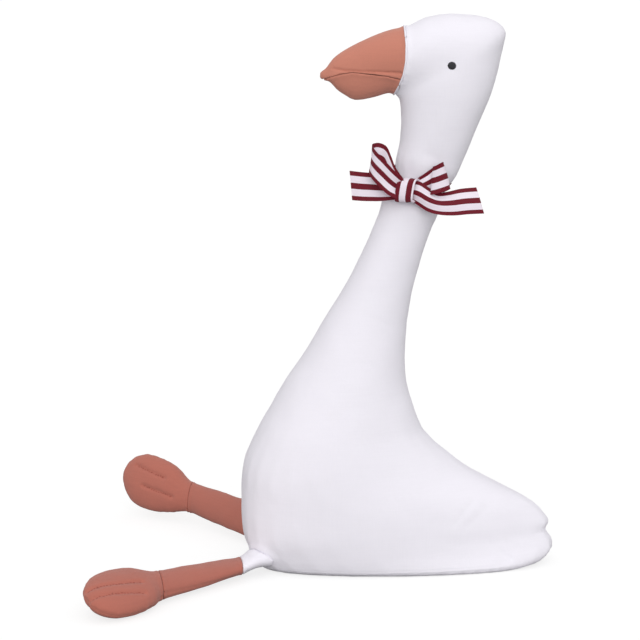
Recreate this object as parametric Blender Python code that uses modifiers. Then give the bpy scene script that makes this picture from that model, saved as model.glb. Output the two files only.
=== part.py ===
"""A plush goose that sits upright on its flat seat.

The goose faces -X, its left side faces -Y and the seat lies in the plane Z = 0, with the
origin at the middle of the seat. One stuffed cover makes the torso, the neck and the head.
The beak is two stuffed covers, each leg is a thigh, a shank and a foot, the eyes are
stitched domes, and one ribbon is tied round the neck in a bow.
"""
import math

import bmesh
import bpy
from mathutils import Vector
from mathutils.bvhtree import BVHTree

MM = 0.001

# Clearances
TOUCH_GAP = 0.3 * MM
FLOOR_GAP = 0.1 * MM

# Body
BODY_SEGMENTS = 28
ROW_STEPS = 2
TAPER_SKEW = 0.6
SHARP_EDGE = math.radians(40)

# Eyes
EYE_DIAMETER = 7.4 * MM
EYE_HEIGHT = 1.3 * MM
EYE_X = 66.5 * MM
EYE_Z = 462.0 * MM
EYE_SEGMENTS = 16
EYE_RINGS = 10

# Legs
HIP_X = -81.0 * MM
HIP_Y = 32.0 * MM
HIP_HEIGHT = 16.0 * MM
THIGH_LENGTH = 17.5 * MM
THIGH_TUCK = 22.0 * MM
SHANK_LENGTH = 103.0 * MM
FOOT_LENGTH = 85.0 * MM
LEG_WIDTH = 37.5 * MM
LEG_THICKNESS = 15.0 * MM
ANKLE_WIDTH = 32.0 * MM
ANKLE_THICKNESS = 20.0 * MM
FOOT_WIDTH = 57.5 * MM
FOOT_THICKNESS = 26.0 * MM
LEG_SEGMENTS = 20
LEG_STEPS = 4
FOOT_STEPS = 2
JOINT_BEND_SHARE = 0.2

# Thigh where it is tucked in and where it leaves the body, as shares of the leg's section
TUCK_WIDTH_SHARE = 0.84
HIP_WIDTH_SHARE = 0.9
HIP_THICKNESS_SHARE = 1.2

# Shares of the foot's length over which its roll and its height settle
FOOT_ROLL_SHARE = 0.33
FOOT_RISE_SHARE = 0.38

# Ribbon
RIBBON_WIDTH = 25.4 * MM
RIBBON_THICKNESS = 0.8 * MM
BAND_HEIGHT = 351.0 * MM
BAND_X = 40.0 * MM
BAND_TILT = math.radians(18.6)
BAND_LOOSENESS = 0.5 * MM
BAND_SEGMENTS = 40
BAND_ROWS = (-0.5, -0.25, 0.0, 0.25, 0.5)
STRIP_STEPS = 3
KNOT_WIDTH = 17.0 * MM
KNOT_DEPTH = 11.0 * MM
KNOT_HEIGHT = 21.5 * MM
KNOT_BEVEL = 3.5 * MM
KNOT_BEVEL_STEPS = 3
KNOT_LEAN = math.radians(7.0)
KNOT_BEARING = math.radians(-112.0)
KNOT_DROP = 4.0 * MM

# Notch at the end of the tail, where the back meets the side covers
NOTCH_HEIGHT = 31.0 * MM
NOTCH_DEPTH = 7.5 * MM
NOTCH_SPREAD = 3.4 * MM
NOTCH_REACH = 30

# Torso and neck, as level sections from the seat up.
# Height, front x, back x, half width, share of the half width lost at the tail, and the
# power that squares the section off where it is below one. Lengths are in mm.
TORSO_ROWS = [
    (0.0, -101.5, 138.0, 58.0, 0.10, 0.50),
    (4.0, -110.0, 155.0, 66.0, 0.22, 0.55),
    (10.0, -114.0, 164.5, 69.5, 0.35, 0.60),
    (16.0, -117.5, 168.8, 72.5, 0.44, 0.64),
    (24.0, -121.5, 167.2, 75.0, 0.50, 0.68),
    (30.0, -123.6, 165.8, 76.5, 0.54, 0.71),
    (36.0, -124.7, 166.6, 77.5, 0.55, 0.75),
    (46.0, -125.2, 161.2, 78.0, 0.55, 0.78),
    (58.0, -125.3, 150.0, 78.0, 0.52, 0.82),
    (69.0, -125.1, 131.0, 77.5, 0.47, 0.86),
    (81.0, -124.8, 106.3, 76.5, 0.40, 0.89),
    (92.0, -123.8, 85.8, 75.0, 0.32, 0.92),
    (104.0, -120.8, 70.5, 72.5, 0.25, 0.94),
    (126.5, -110.0, 46.6, 67.0, 0.14, 0.96),
    (149.0, -97.0, 37.3, 60.5, 0.06, 0.98),
    (172.0, -84.5, 30.7, 53.5, 0.0, 1.0),
    (194.0, -70.0, 29.3, 47.0, 0.0, 1.0),
    (217.0, -55.5, 30.2, 41.0, 0.0, 1.0),
    (239.0, -43.0, 33.0, 36.5, 0.0, 1.0),
    (273.0, -23.0, 40.0, 31.5, 0.0, 1.0),
    (306.0, -6.8, 50.0, 28.8, 0.0, 1.0),
    (330.0, 2.2, 59.5, 27.5, 0.0, 1.0),
    (350.0, 8.8, 67.8, 26.8, 0.0, 1.0),
    (370.0, 16.0, 78.5, 29.0, 0.0, 1.0),
    (393.0, 20.0, 88.8, 32.5, 0.0, 1.0),
    (412.0, 21.2, 96.5, 35.0, 0.0, 1.0),
]

# Head and beak, as sections that fan round the throat and run on to the beak's tip.
# Lower point x and z, upper point x and z, half width, in mm.
HEAD_ROWS = [
    (20.5, 425.0, 107.0, 437.0, 36.3),
    (19.5, 429.5, 112.8, 460.0, 37.0),
    (18.8, 431.6, 116.0, 477.5, 36.8),
    (18.3, 432.8, 118.8, 490.5, 36.3),
    (17.9, 433.5, 110.5, 501.4, 35.8),
    (17.5, 434.0, 92.0, 507.6, 35.2),
    (17.1, 434.3, 68.0, 509.6, 34.2),
    (16.8, 434.5, 43.0, 505.2, 31.8),
    (16.4, 434.6, 25.6, 496.6, 28.8),
    (12.1, 435.2, 15.0, 494.4, 26.5),
    (1.4, 432.0, 2.0, 490.4, 23.5),
    (-8.0, 429.8, -9.5, 485.6, 20.8),
    (-18.8, 428.3, -21.6, 479.8, 17.6),
    (-27.6, 432.4, -31.4, 474.2, 14.6),
    (-36.2, 438.6, -39.6, 467.8, 11.4),
    (-43.6, 446.2, -45.6, 459.6, 7.6),
    (-48.4, 447.8, -48.8, 456.8, 5.4),
    (-51.2, 450.2, -51.2, 454.6, 2.2),
]

# Side view of the seam between head and beak, from above the crown to below the throat, in mm.
HEAD_SEAM = [(25.0, 530.0), (25.4, 496.0), (26.6, 480.0), (26.2, 465.0), (24.0, 453.0),
             (20.4, 443.5), (16.4, 434.9), (12.0, 429.5), (-10.0, 405.0)]

# Side view of the line where the mouth closes, from inside the head to past the tip, in mm.
MOUTH_LINE = [(45.0, 445.5), (26.0, 448.5), (8.0, 452.2), (-4.0, 453.6), (-21.7, 455.0),
              (-32.0, 453.4), (-44.0, 449.6), (-75.0, 441.0)]

# Reach of the beak's cutters to each side, well outside the head.
CUTTER_HALF_WIDTH = 60.0 * MM

# How each leg lies: the side of the goose, the angles that thigh and shank splay from straight
# ahead, the further turn of the foot, the angles at which knee seam, ankle seam and toes face, how
# far each section rolls to show its top to the left side, and how high the knee, the ankle and
# the toes lie above the height at which they would rest.
LEGS = {
    "left": {"side": -1, "thigh_splay": math.radians(29.0), "splay": math.radians(49.0),
             "foot_turn": math.radians(-2.5),
             "knee_face": math.radians(8.0), "ankle_face": math.radians(15.0),
             "toe_face": math.radians(35.0),
             "hip_roll": math.radians(2.0), "knee_roll": math.radians(-3.0),
             "ankle_roll": math.radians(27.0), "foot_roll": math.radians(25.0),
             "knee_lift": 2.5 * MM, "ankle_lift": 2.5 * MM, "toe_lift": 0.0 * MM},
    "right": {"side": 1, "thigh_splay": math.radians(49.0), "splay": math.radians(49.0),
              "foot_turn": math.radians(-15.5),
              "knee_face": math.radians(32.0), "ankle_face": math.radians(16.0),
              "toe_face": math.radians(30.0),
              "hip_roll": math.radians(34.0), "knee_roll": math.radians(50.0),
              "ankle_roll": math.radians(61.5), "foot_roll": math.radians(70.0),
              "knee_lift": 4.5 * MM, "ankle_lift": 10.0 * MM, "toe_lift": 10.5 * MM},
}

# Shape of a foot from the ankle to the toes: share of the length, of the swell from ankle
# width to full width, which is below zero where the toes are narrower than the ankle, and of
# the full thickness.
FOOT_ROWS = [
    (0.0, 0.0, 0.74),
    (0.10, 0.18, 0.86),
    (0.22, 0.55, 0.96),
    (0.38, 0.87, 1.0),
    (0.55, 1.0, 1.0),
    (0.68, 0.96, 0.96),
    (0.80, 0.74, 0.88),
    (0.89, 0.36, 0.74),
    (0.95, -0.08, 0.58),
]
FOOT_TIP_SHARE = 0.5

# Runs of the bow in mm, from the middle of the knot: right, away from the left side and up.
# Each row is a point of the run's middle line, the lean of its width to the right and away
# for each step up, and the share of the ribbon's width that shows there.
LEFT_LOOP = [
    (-1.0, -3.6, 0.5, 0.10, 0.0, 0.62),
    (-5.5, -4.0, 1.3, 0.10, 0.0, 0.70),
    (-14.6, -6.8, 7.0, 0.15, -0.05, 0.92),
    (-23.6, -7.2, 15.7, 0.14, -0.08, 1.0),
    (-30.5, -4.4, 22.8, 0.13, -0.08, 1.0),
    (-33.0, -0.2, 27.2, 0.11, -0.08, 1.0),
    (-31.8, 3.6, 29.0, 0.12, -0.06, 0.98),
    (-27.2, 6.4, 29.4, 0.18, -0.04, 0.98),
    (-21.2, 6.4, 26.0, 0.18, -0.04, 1.0),
    (-17.6, 5.0, 18.8, 0.18, 0.0, 0.96),
    (-13.4, 3.2, 10.0, 0.17, 0.0, 0.86),
    (-5.4, 1.4, 1.7, 0.10, 0.0, 0.70),
    (-1.0, 1.0, 0.5, 0.10, 0.0, 0.62),
]
RIGHT_LOOP = [
    (1.0, -1.5, 2.0, 0.05, 0.0, 0.50),
    (8.0, -1.2, 3.0, 0.05, 0.0, 0.58),
    (15.0, -0.8, 5.4, 0.07, 0.0, 0.76),
    (20.8, -1.0, 8.0, 0.09, 0.0, 0.94),
    (22.6, -3.2, 8.7, 0.09, 0.0, 0.98),
    (21.2, -5.8, 8.8, 0.08, 0.0, 1.0),
    (24.6, -8.0, 10.0, 0.0, 0.0, 1.0),
    (30.6, -7.7, 12.2, -0.16, 0.0, 1.0),
    (34.4, -4.4, 13.4, -0.26, 0.0, 1.0),
    (34.4, -1.2, 12.8, -0.29, 0.0, 0.98),
    (30.0, 0.8, 10.0, -0.26, 0.0, 0.94),
    (20.0, 1.1, 6.0, -0.15, 0.0, 0.80),
    (8.0, 1.3, 2.6, 0.0, 0.0, 0.58),
    (1.0, 1.3, 2.0, 0.05, 0.0, 0.50),
]
LEFT_TAIL = [
    (-1.0, 3.2, 0.0, 0.10, 0.0, 0.60),
    (-5.2, 3.6, 0.0, 0.10, 0.0, 0.65),
    (-15.0, 5.2, 0.6, 0.14, 0.05, 0.82),
    (-24.0, 6.6, 1.3, 0.04, 0.10, 0.94),
    (-32.0, 7.4, 1.9, -0.04, 0.12, 1.0),
    (-41.5, 8.0, 2.4, -0.06, 0.10, 1.03),
    (-51.0, 8.2, 3.3, -0.09, 0.08, 1.05),
]
RIGHT_TAIL = [
    (1.0, -3.0, -0.8, 0.06, 0.0, 0.68),
    (4.0, -3.8, -1.0, 0.06, 0.0, 0.72),
    (9.6, -5.4, -2.6, 0.08, 0.0, 0.84),
    (18.9, -6.4, -8.2, 0.10, 0.16, 0.82),
    (27.8, -5.8, -11.4, -0.10, 0.34, 0.80),
    (38.8, -4.8, -11.4, -0.30, 0.34, 0.89),
    (51.0, -3.8, -9.8, -0.32, 0.26, 0.95),
    (65.0, -2.8, -9.0, -0.30, 0.22, 0.97),
]

# Surface colours, as seen: red, green and blue from 0 to 255, and roughness.
FINISHES = {
    "cover_cotton": ((240, 236, 243), 0.9),
    "beak_cotton": ((193, 122, 102), 0.9),
    "leg_cotton": ((184, 110, 94), 0.9),
    "ribbon": ((124, 36, 56), 0.55),
    "eye_thread": ((38, 38, 43), 0.6),
}


def clear_scene():
    for item in list(bpy.data.objects):
        bpy.data.objects.remove(item, do_unlink=True)


def new_collection(name):
    group = bpy.data.collections.new(name)
    bpy.context.scene.collection.children.link(group)
    return group


def linear(level):
    level = level / 255
    if level <= 0.04045:
        return level / 12.92
    return ((level + 0.055) / 1.055) ** 2.4


def new_material(name):
    (red, green, blue), roughness = FINISHES[name]
    finish = bpy.data.materials.new(name)
    finish.use_nodes = True
    shader = finish.node_tree.nodes["Principled BSDF"]
    shader.inputs["Base Color"].default_value = (linear(red), linear(green), linear(blue), 1.0)
    shader.inputs["Roughness"].default_value = roughness
    shader.inputs["Metallic"].default_value = 0.0
    return finish


def new_object(name, mesh, group, finish=None):
    item = bpy.data.objects.new(name, mesh)
    group.objects.link(item)
    if finish is not None:
        mesh.materials.append(finish)
        mesh.shade_smooth()
        mesh.set_sharp_from_angle(angle=SHARP_EDGE)
    return item


def make_cutter(item):
    item.hide_render = True
    item.display_type = "WIRE"


def between_rows(rows, steps):
    """Return rows with steps per interval, on monotone cubic curves through each column."""
    columns = list(zip(*rows))
    slopes = []
    for column in columns:
        rises = [after - before for before, after in zip(column, column[1:])]
        middle = [
            0.0 if left * right <= 0 else 2 * left * right / (left + right)
            for left, right in zip(rises, rises[1:])
        ]
        slopes.append([rises[0]] + middle + [rises[-1]])
    dense = []
    for index in range(len(rows) - 1):
        for step in range(steps):
            t = step / steps
            row = []
            for column, slope in zip(columns, slopes):
                start, end = column[index], column[index + 1]
                row.append(
                    start * (1 + 2 * t) * (1 - t) ** 2
                    + slope[index] * t * (1 - t) ** 2
                    + end * t * t * (3 - 2 * t)
                    + slope[index + 1] * t * t * (t - 1)
                )
            dense.append(tuple(row))
    dense.append(tuple(rows[-1]))
    return dense


def loft(name, rings):
    """Return a mesh that joins rings of equally many points, with flat ends."""
    shape = bmesh.new()
    loops = [[shape.verts.new(point) for point in ring] for ring in rings]
    count = len(loops[0])
    for lower, upper in zip(loops, loops[1:]):
        for index in range(count):
            after = (index + 1) % count
            shape.faces.new((lower[index], lower[after], upper[after], upper[index]))
    shape.faces.new(loops[0])
    shape.faces.new(loops[-1])
    bmesh.ops.recalc_face_normals(shape, faces=shape.faces)
    mesh = bpy.data.meshes.new(name)
    shape.to_mesh(mesh)
    shape.free()
    return mesh


def slab(name, outline, group):
    """Return a cutter: an outline in the side view, in mm, drawn out to both sides."""
    curve = bpy.data.curves.new(name + "_outline", "CURVE")
    curve.dimensions = "2D"
    curve.fill_mode = "BOTH"
    curve.extrude = CUTTER_HALF_WIDTH
    spline = curve.splines.new("POLY")
    spline.points.add(len(outline) - 1)
    for point, (x, z) in zip(spline.points, outline):
        point.co = (x * MM, z * MM, 0.0, 1.0)
    spline.use_cyclic_u = True
    drawn = bpy.data.objects.new(name + "_outline", curve)
    group.objects.link(drawn)
    drawn.rotation_euler = (math.radians(90), 0.0, 0.0)
    bpy.context.view_layer.update()
    graph = bpy.context.evaluated_depsgraph_get()
    mesh = bpy.data.meshes.new_from_object(drawn.evaluated_get(graph))
    shape = bmesh.new()
    shape.from_mesh(mesh)
    bmesh.ops.remove_doubles(shape, verts=shape.verts, dist=0.01 * MM)
    bmesh.ops.recalc_face_normals(shape, faces=shape.faces)
    shape.to_mesh(mesh)
    shape.free()
    cutter = new_object(name, mesh, group)
    cutter.matrix_world = drawn.matrix_world.copy()
    bpy.data.objects.remove(drawn, do_unlink=True)
    make_cutter(cutter)
    return cutter


def add_boolean(item, cutter, operation):
    step = item.modifiers.new(operation.lower() + "_" + cutter.name, "BOOLEAN")
    step.operation = operation
    step.solver = "EXACT"
    step.object = cutter


def body_sections():
    """Return sections from the seat to the beak's tip: two points and how the width runs."""
    rows = [
        (front, height, back, height, width, taper, power)
        for height, front, back, width, taper, power in TORSO_ROWS
    ]
    rows += [row + (0.0, 1.0) for row in HEAD_ROWS]
    return between_rows(rows, ROW_STEPS)


def body_ring(section, clearance):
    """Return one ring of the skin, which lies outside the real one by the clearance."""
    low_x, low_z, high_x, high_z, half_width, taper, power = section
    low = Vector((low_x, 0.0, low_z)) * MM
    high = Vector((high_x, 0.0, high_z)) * MM
    along = (high - low).normalized()
    low = low - along * clearance
    high = high + along * clearance
    half_width = half_width * MM + clearance
    skew = 1.0 + TAPER_SKEW * taper
    off_notch = (high.z - NOTCH_HEIGHT) / NOTCH_SPREAD
    notch = NOTCH_DEPTH * math.exp(-off_notch * off_notch)
    ring = []
    for index in range(BODY_SEGMENTS):
        angle = 2 * math.pi * index / BODY_SEGMENTS
        share = ((1 - math.cos(angle)) / 2) ** skew
        bulge = math.copysign(abs(math.sin(angle)) ** power, math.sin(angle))
        side = half_width * bulge * (1 - taper * share * share)
        point = low.lerp(high, share)
        point += Vector((-notch * share**NOTCH_REACH, side, 0.0))
        ring.append(point)
    return ring


def body_mesh(name, clearance=0.0):
    rings = [body_ring(section, clearance) for section in body_sections()]
    if clearance:
        below = [point - Vector((0.0, 0.0, clearance)) for point in rings[0]]
        rings[0] = below
    return loft(name, rings)


def skin_tree():
    """Return the skin as a tree that rays can be cast at."""
    mesh = body_mesh("skin_probe")
    shape = bmesh.new()
    shape.from_mesh(mesh)
    tree = BVHTree.FromBMesh(shape)
    shape.free()
    bpy.data.meshes.remove(mesh)
    return tree


def make_body_and_beak(parts, cutters, finishes):
    """Cut one long skin into the white body and the two halves of the beak.

    The ends of the two seam lines lie outside the goose, and close the cutters there.
    """
    gap = TOUCH_GAP / MM
    beak_seam = [(x - gap, z) for x, z in HEAD_SEAM]
    over_mouth = [(x, z + gap / 2) for x, z in MOUTH_LINE]
    under_mouth = [(x, z - gap / 2) for x, z in MOUTH_LINE]
    far_x = MOUTH_LINE[-1][0]
    top_corner = (far_x, HEAD_SEAM[0][1])
    low_corner = (far_x, HEAD_SEAM[-1][1])

    whole_beak = slab("beak_space", HEAD_SEAM + [low_corner, top_corner], cutters)
    ahead = slab("ahead_of_seam", beak_seam + [low_corner, top_corner], cutters)
    far_right = (MOUTH_LINE[0][0], HEAD_SEAM[0][1])
    over = slab("over_mouth", over_mouth + [top_corner, far_right], cutters)
    far_low = (MOUTH_LINE[0][0], HEAD_SEAM[-1][1])
    under = slab("under_mouth", under_mouth + [low_corner, far_low], cutters)

    body = new_object("body", body_mesh("body"), parts, finishes["cover_cotton"])
    add_boolean(body, whole_beak, "DIFFERENCE")
    for name, side in (("beak_upper", over), ("beak_lower", under)):
        piece = new_object(name, body_mesh(name), parts, finishes["beak_cotton"])
        add_boolean(piece, ahead, "INTERSECT")
        add_boolean(piece, side, "INTERSECT")


def make_eyes(skin, clear_skin, parts, finishes):
    """Seat a stitched dome on each side of the head."""
    for name, side in (("eye_left", -1), ("eye_right", 1)):
        start = Vector((EYE_X, side * CUTTER_HALF_WIDTH, EYE_Z))
        place, normal, _, _ = skin.ray_cast(start, Vector((0.0, -side, 0.0)))
        shape = bmesh.new()
        bmesh.ops.create_uvsphere(shape, u_segments=EYE_SEGMENTS, v_segments=EYE_RINGS, radius=1.0)
        radius = EYE_DIAMETER / 2
        bmesh.ops.scale(shape, vec=(radius, radius, EYE_HEIGHT), verts=shape.verts)
        mesh = bpy.data.meshes.new(name)
        shape.to_mesh(mesh)
        shape.free()
        eye = new_object(name, mesh, parts, finishes["eye_thread"])
        eye.location = place
        eye.rotation_euler = normal.to_track_quat("Z", "Y").to_euler()
        add_boolean(eye, clear_skin, "DIFFERENCE")


def flat_section(centre, direction, half_width, half_thickness, roll):
    """Return a ring across a limb, an ellipse turned about the limb's run by the roll."""
    level = Vector((0.0, 0.0, 1.0)).cross(direction).normalized()
    if level.y < 0:
        level = -level
    across = level * math.cos(roll) + Vector((0.0, 0.0, math.sin(roll)))
    upward = direction.cross(across).normalized()
    ring = []
    for index in range(LEG_SEGMENTS):
        angle = 2 * math.pi * index / LEG_SEGMENTS
        ring.append(
            centre
            + across * (half_width * math.cos(angle))
            + upward * (half_thickness * math.sin(angle))
        )
    return ring


def rest_height(half_width, half_thickness, roll):
    """Return the height at which a rolled section just rests on the floor."""
    reach = math.hypot(half_width * math.sin(roll), half_thickness * math.cos(roll))
    return reach + FLOOR_GAP


def heading(side, angle):
    """Return the level way that lies at an angle from straight ahead, towards one side."""
    return Vector((-math.cos(angle), side * math.sin(angle), 0.0))


def limb_mesh(name, start, direction, rows, first_face, last_face, bend_share=1.0):
    """Loft a limb from rows of distance, half width, half thickness, roll and height.

    Its sections turn from the first facing to the last over a share of its length.
    """
    rings = []
    nearest = rows[0][0]
    bend = bend_share * (rows[-1][0] - nearest)
    for distance, half_width, half_thickness, roll, height in rows:
        centre = start + direction * distance
        centre.z = height
        share = min(1.0, (distance - nearest) / bend)
        facing = first_face.lerp(last_face, share).normalized()
        rings.append(flat_section(centre, facing, half_width, half_thickness, roll))
    return loft(name, rings)


def foot_rows(ankle_height, pose):
    """Return the foot's sections, from just past the ankle seam to the toes."""
    rows = []
    roll_change = pose["foot_roll"] - pose["ankle_roll"]
    full_height = rest_height(FOOT_WIDTH / 2, FOOT_THICKNESS / 2, pose["foot_roll"])
    for share, swell, thickness in between_rows(FOOT_ROWS, FOOT_STEPS):
        half_width = (ANKLE_WIDTH + (FOOT_WIDTH - ANKLE_WIDTH) * swell) / 2
        half_thickness = FOOT_THICKNESS * thickness / 2
        roll = pose["ankle_roll"] + roll_change * min(1.0, share / FOOT_ROLL_SHARE)
        rise = min(1.0, share / FOOT_RISE_SHARE)
        height = ankle_height + (full_height - ankle_height) * rise * rise * (3 - 2 * rise)
        height = max(height, rest_height(half_width, half_thickness, roll))
        height += pose["toe_lift"] * share
        distance = TOUCH_GAP + share * FOOT_LENGTH
        rows.append((distance, half_width, half_thickness, roll, height))
    last = rows[-1]
    tip = FOOT_TIP_SHARE
    rows.append((TOUCH_GAP + FOOT_LENGTH, last[1] * tip, last[2] * tip, last[3], last[4]))
    return rows


def make_leg(name, pose, skin, clear_skin, parts, finishes):
    """Lay one leg out from the hip: a thigh cut to the body's skin, a shank and a foot."""
    side = pose["side"]
    thigh_way = heading(side, pose["thigh_splay"])
    shank_way = heading(side, pose["splay"])
    knee_face = heading(side, pose["knee_face"])
    ankle_face = heading(side, pose["ankle_face"])
    toe_face = heading(side, pose["toe_face"])
    inside = Vector((HIP_X, side * HIP_Y, HIP_HEIGHT))
    hip, _, _, _ = skin.ray_cast(inside, thigh_way)
    knee_height = rest_height(LEG_WIDTH / 2, LEG_THICKNESS / 2, pose["knee_roll"])
    knee_height += pose["knee_lift"]
    ankle_height = rest_height(ANKLE_WIDTH / 2, ANKLE_THICKNESS / 2, pose["ankle_roll"])
    ankle_height += pose["ankle_lift"]

    half_width = LEG_WIDTH / 2
    half_thickness = LEG_THICKNESS / 2
    hip_thickness = half_thickness * HIP_THICKNESS_SHARE
    thigh = [
        (-THIGH_TUCK, half_width * TUCK_WIDTH_SHARE, hip_thickness, pose["hip_roll"], HIP_HEIGHT),
        (0.0, half_width * HIP_WIDTH_SHARE, hip_thickness, pose["hip_roll"], HIP_HEIGHT),
        (THIGH_LENGTH, half_width, half_thickness, pose["knee_roll"], knee_height),
    ]
    rows = between_rows(thigh, LEG_STEPS)
    mesh = limb_mesh("thigh_" + name, hip, thigh_way, rows, thigh_way, knee_face)
    piece = new_object("thigh_" + name, mesh, parts, finishes["cover_cotton"])
    add_boolean(piece, clear_skin, "DIFFERENCE")

    knee = hip + thigh_way * (THIGH_LENGTH + TOUCH_GAP)
    upper_end = (0.0, half_width, half_thickness, pose["knee_roll"], knee_height)
    lower_end = (SHANK_LENGTH, ANKLE_WIDTH / 2, ANKLE_THICKNESS / 2, pose["ankle_roll"],
                 ankle_height)
    middle = tuple((upper + lower) / 2 for upper, lower in zip(upper_end, lower_end))
    rows = between_rows([upper_end, middle, lower_end], LEG_STEPS)
    mesh = limb_mesh("shank_" + name, knee, shank_way, rows, knee_face, ankle_face)
    new_object("shank_" + name, mesh, parts, finishes["leg_cotton"])

    ankle = knee + shank_way * SHANK_LENGTH
    foot_way = heading(side, pose["splay"] + pose["foot_turn"])
    rows = foot_rows(ankle_height, pose)
    mesh = limb_mesh("foot_" + name, ankle, foot_way, rows, ankle_face, toe_face,
                     JOINT_BEND_SHARE)
    new_object("foot_" + name, mesh, parts, finishes["leg_cotton"])


def strip_object(name, rows, knot, cutters):
    """Return one run of ribbon from the knot, as a sheet with the ribbon's thickness."""
    shape = bmesh.new()
    lines = []
    for x, y, z, lean_right, lean_away, share in between_rows(rows, STRIP_STEPS):
        middle = knot + Vector((x, y, z)) * MM
        across = Vector((lean_right, lean_away, 1.0)).normalized() * (RIBBON_WIDTH * share / 2)
        lines.append([shape.verts.new(middle + across * step) for step in (-1.0, 0.0, 1.0)])
    for before, after in zip(lines, lines[1:]):
        for index in range(2):
            shape.faces.new((before[index], before[index + 1], after[index + 1], after[index]))
    mesh = bpy.data.meshes.new(name)
    shape.to_mesh(mesh)
    shape.free()
    strip = new_object(name, mesh, cutters)
    add_thickness(strip)
    make_cutter(strip)
    return strip


def add_thickness(item):
    sheet = item.modifiers.new("ribbon_thickness", "SOLIDIFY")
    sheet.thickness = RIBBON_THICKNESS
    sheet.offset = 0.0


def band_point(skin, bearing, across):
    """Return a point of the neck band, and the way out from the neck there."""
    axis = Vector((math.sin(BAND_TILT), 0.0, math.cos(BAND_TILT)))
    back = Vector((math.cos(BAND_TILT), 0.0, -math.sin(BAND_TILT)))
    outward = back * math.cos(bearing) + Vector((0.0, math.sin(bearing), 0.0))
    middle = Vector((BAND_X, 0.0, BAND_HEIGHT)) + axis * across
    touch, _, _, _ = skin.ray_cast(middle, outward)
    return touch + outward * (BAND_LOOSENESS + RIBBON_THICKNESS / 2), outward


def band_object(skin, cutters):
    """Return the turn of ribbon that goes round the neck."""
    shape = bmesh.new()
    rings = []
    for share in BAND_ROWS:
        ring = []
        for index in range(BAND_SEGMENTS):
            bearing = 2 * math.pi * index / BAND_SEGMENTS
            point, _ = band_point(skin, bearing, share * RIBBON_WIDTH)
            ring.append(shape.verts.new(point))
        rings.append(ring)
    for lower, upper in zip(rings, rings[1:]):
        for index in range(BAND_SEGMENTS):
            after = (index + 1) % BAND_SEGMENTS
            shape.faces.new((lower[index], lower[after], upper[after], upper[index]))
    mesh = bpy.data.meshes.new("neck_band")
    shape.to_mesh(mesh)
    shape.free()
    band = new_object("neck_band", mesh, cutters)
    add_thickness(band)
    make_cutter(band)
    return band


def make_ribbon(skin, clear_skin, parts, cutters, finishes):
    """Tie one ribbon: a knot block joined to the neck band, two loops and two tails."""
    on_band, outward = band_point(skin, KNOT_BEARING, 0.0)
    knot = on_band + outward * (KNOT_DEPTH / 2 - RIBBON_THICKNESS / 2)
    knot.z -= KNOT_DROP
    shape = bmesh.new()
    bmesh.ops.create_cube(shape, size=1.0)
    size = (KNOT_WIDTH, KNOT_DEPTH, KNOT_HEIGHT)
    bmesh.ops.scale(shape, vec=size, verts=shape.verts)
    mesh = bpy.data.meshes.new("neck_ribbon")
    shape.to_mesh(mesh)
    shape.free()
    ribbon = new_object("neck_ribbon", mesh, parts, finishes["ribbon"])
    ribbon.location = knot
    ribbon.rotation_euler = (0.0, KNOT_LEAN, KNOT_BEARING + math.radians(90))
    rounding = ribbon.modifiers.new("soft_edges", "BEVEL")
    rounding.width = KNOT_BEVEL
    rounding.segments = KNOT_BEVEL_STEPS
    add_boolean(ribbon, clear_skin, "DIFFERENCE")
    add_boolean(ribbon, band_object(skin, cutters), "UNION")
    for name, rows in (("left_loop", LEFT_LOOP), ("right_loop", RIGHT_LOOP),
                       ("left_tail", LEFT_TAIL), ("right_tail", RIGHT_TAIL)):
        add_boolean(ribbon, strip_object(name, rows, knot, cutters), "UNION")


def main():
    clear_scene()
    parts = new_collection("plush_goose")
    cutters = new_collection("cutters")
    finishes = {name: new_material(name) for name in FINISHES}
    skin = skin_tree()
    clear_skin = new_object("clear_skin", body_mesh("clear_skin", TOUCH_GAP), cutters)
    make_cutter(clear_skin)
    make_body_and_beak(parts, cutters, finishes)
    make_eyes(skin, clear_skin, parts, finishes)
    for name, pose in LEGS.items():
        make_leg(name, pose, skin, clear_skin, parts, finishes)
    make_ribbon(skin, clear_skin, parts, cutters, finishes)


main()
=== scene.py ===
"""The looks of a plush goose: stuffed cotton covers, sewn seams and a tied striped ribbon.

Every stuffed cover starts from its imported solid, is meshed evenly, drawn in a little and blown
up again by a cloth simulation that is held along its seams. The seams, creases and toe lines
are pressed in afterwards. The ribbon is one cut of grosgrain in a neck band, two loops, two
tails and a knot.
"""
import math

import bmesh
import bpy
import numpy as np
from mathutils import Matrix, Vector, noise
from mathutils.bvhtree import BVHTree
from mathutils.kdtree import KDTree


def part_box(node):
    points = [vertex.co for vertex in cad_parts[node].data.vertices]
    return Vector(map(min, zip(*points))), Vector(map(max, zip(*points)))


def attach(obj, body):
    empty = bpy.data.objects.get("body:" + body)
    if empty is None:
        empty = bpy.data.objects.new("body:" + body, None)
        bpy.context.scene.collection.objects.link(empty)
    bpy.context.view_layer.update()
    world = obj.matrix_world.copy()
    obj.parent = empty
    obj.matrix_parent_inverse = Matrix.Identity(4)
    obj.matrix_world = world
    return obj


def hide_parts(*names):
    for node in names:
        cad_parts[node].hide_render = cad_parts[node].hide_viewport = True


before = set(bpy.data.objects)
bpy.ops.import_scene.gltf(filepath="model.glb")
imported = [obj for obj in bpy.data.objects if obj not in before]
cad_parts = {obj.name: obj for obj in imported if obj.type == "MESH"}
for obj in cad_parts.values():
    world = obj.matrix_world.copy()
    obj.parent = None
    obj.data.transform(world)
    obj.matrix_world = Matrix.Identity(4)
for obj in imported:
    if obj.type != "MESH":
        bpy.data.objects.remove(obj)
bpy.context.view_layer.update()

MM = 0.001

# Camera, as it stood for the photograph
CAMERA_PLACE = Vector((-0.0506, -2.0, 0.55))
CAMERA_AIM = Vector((-0.0506, 0.0, 0.2279))
SENSOR_WIDTH = 36.0
VIEW_WIDTH = 0.5888

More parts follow.
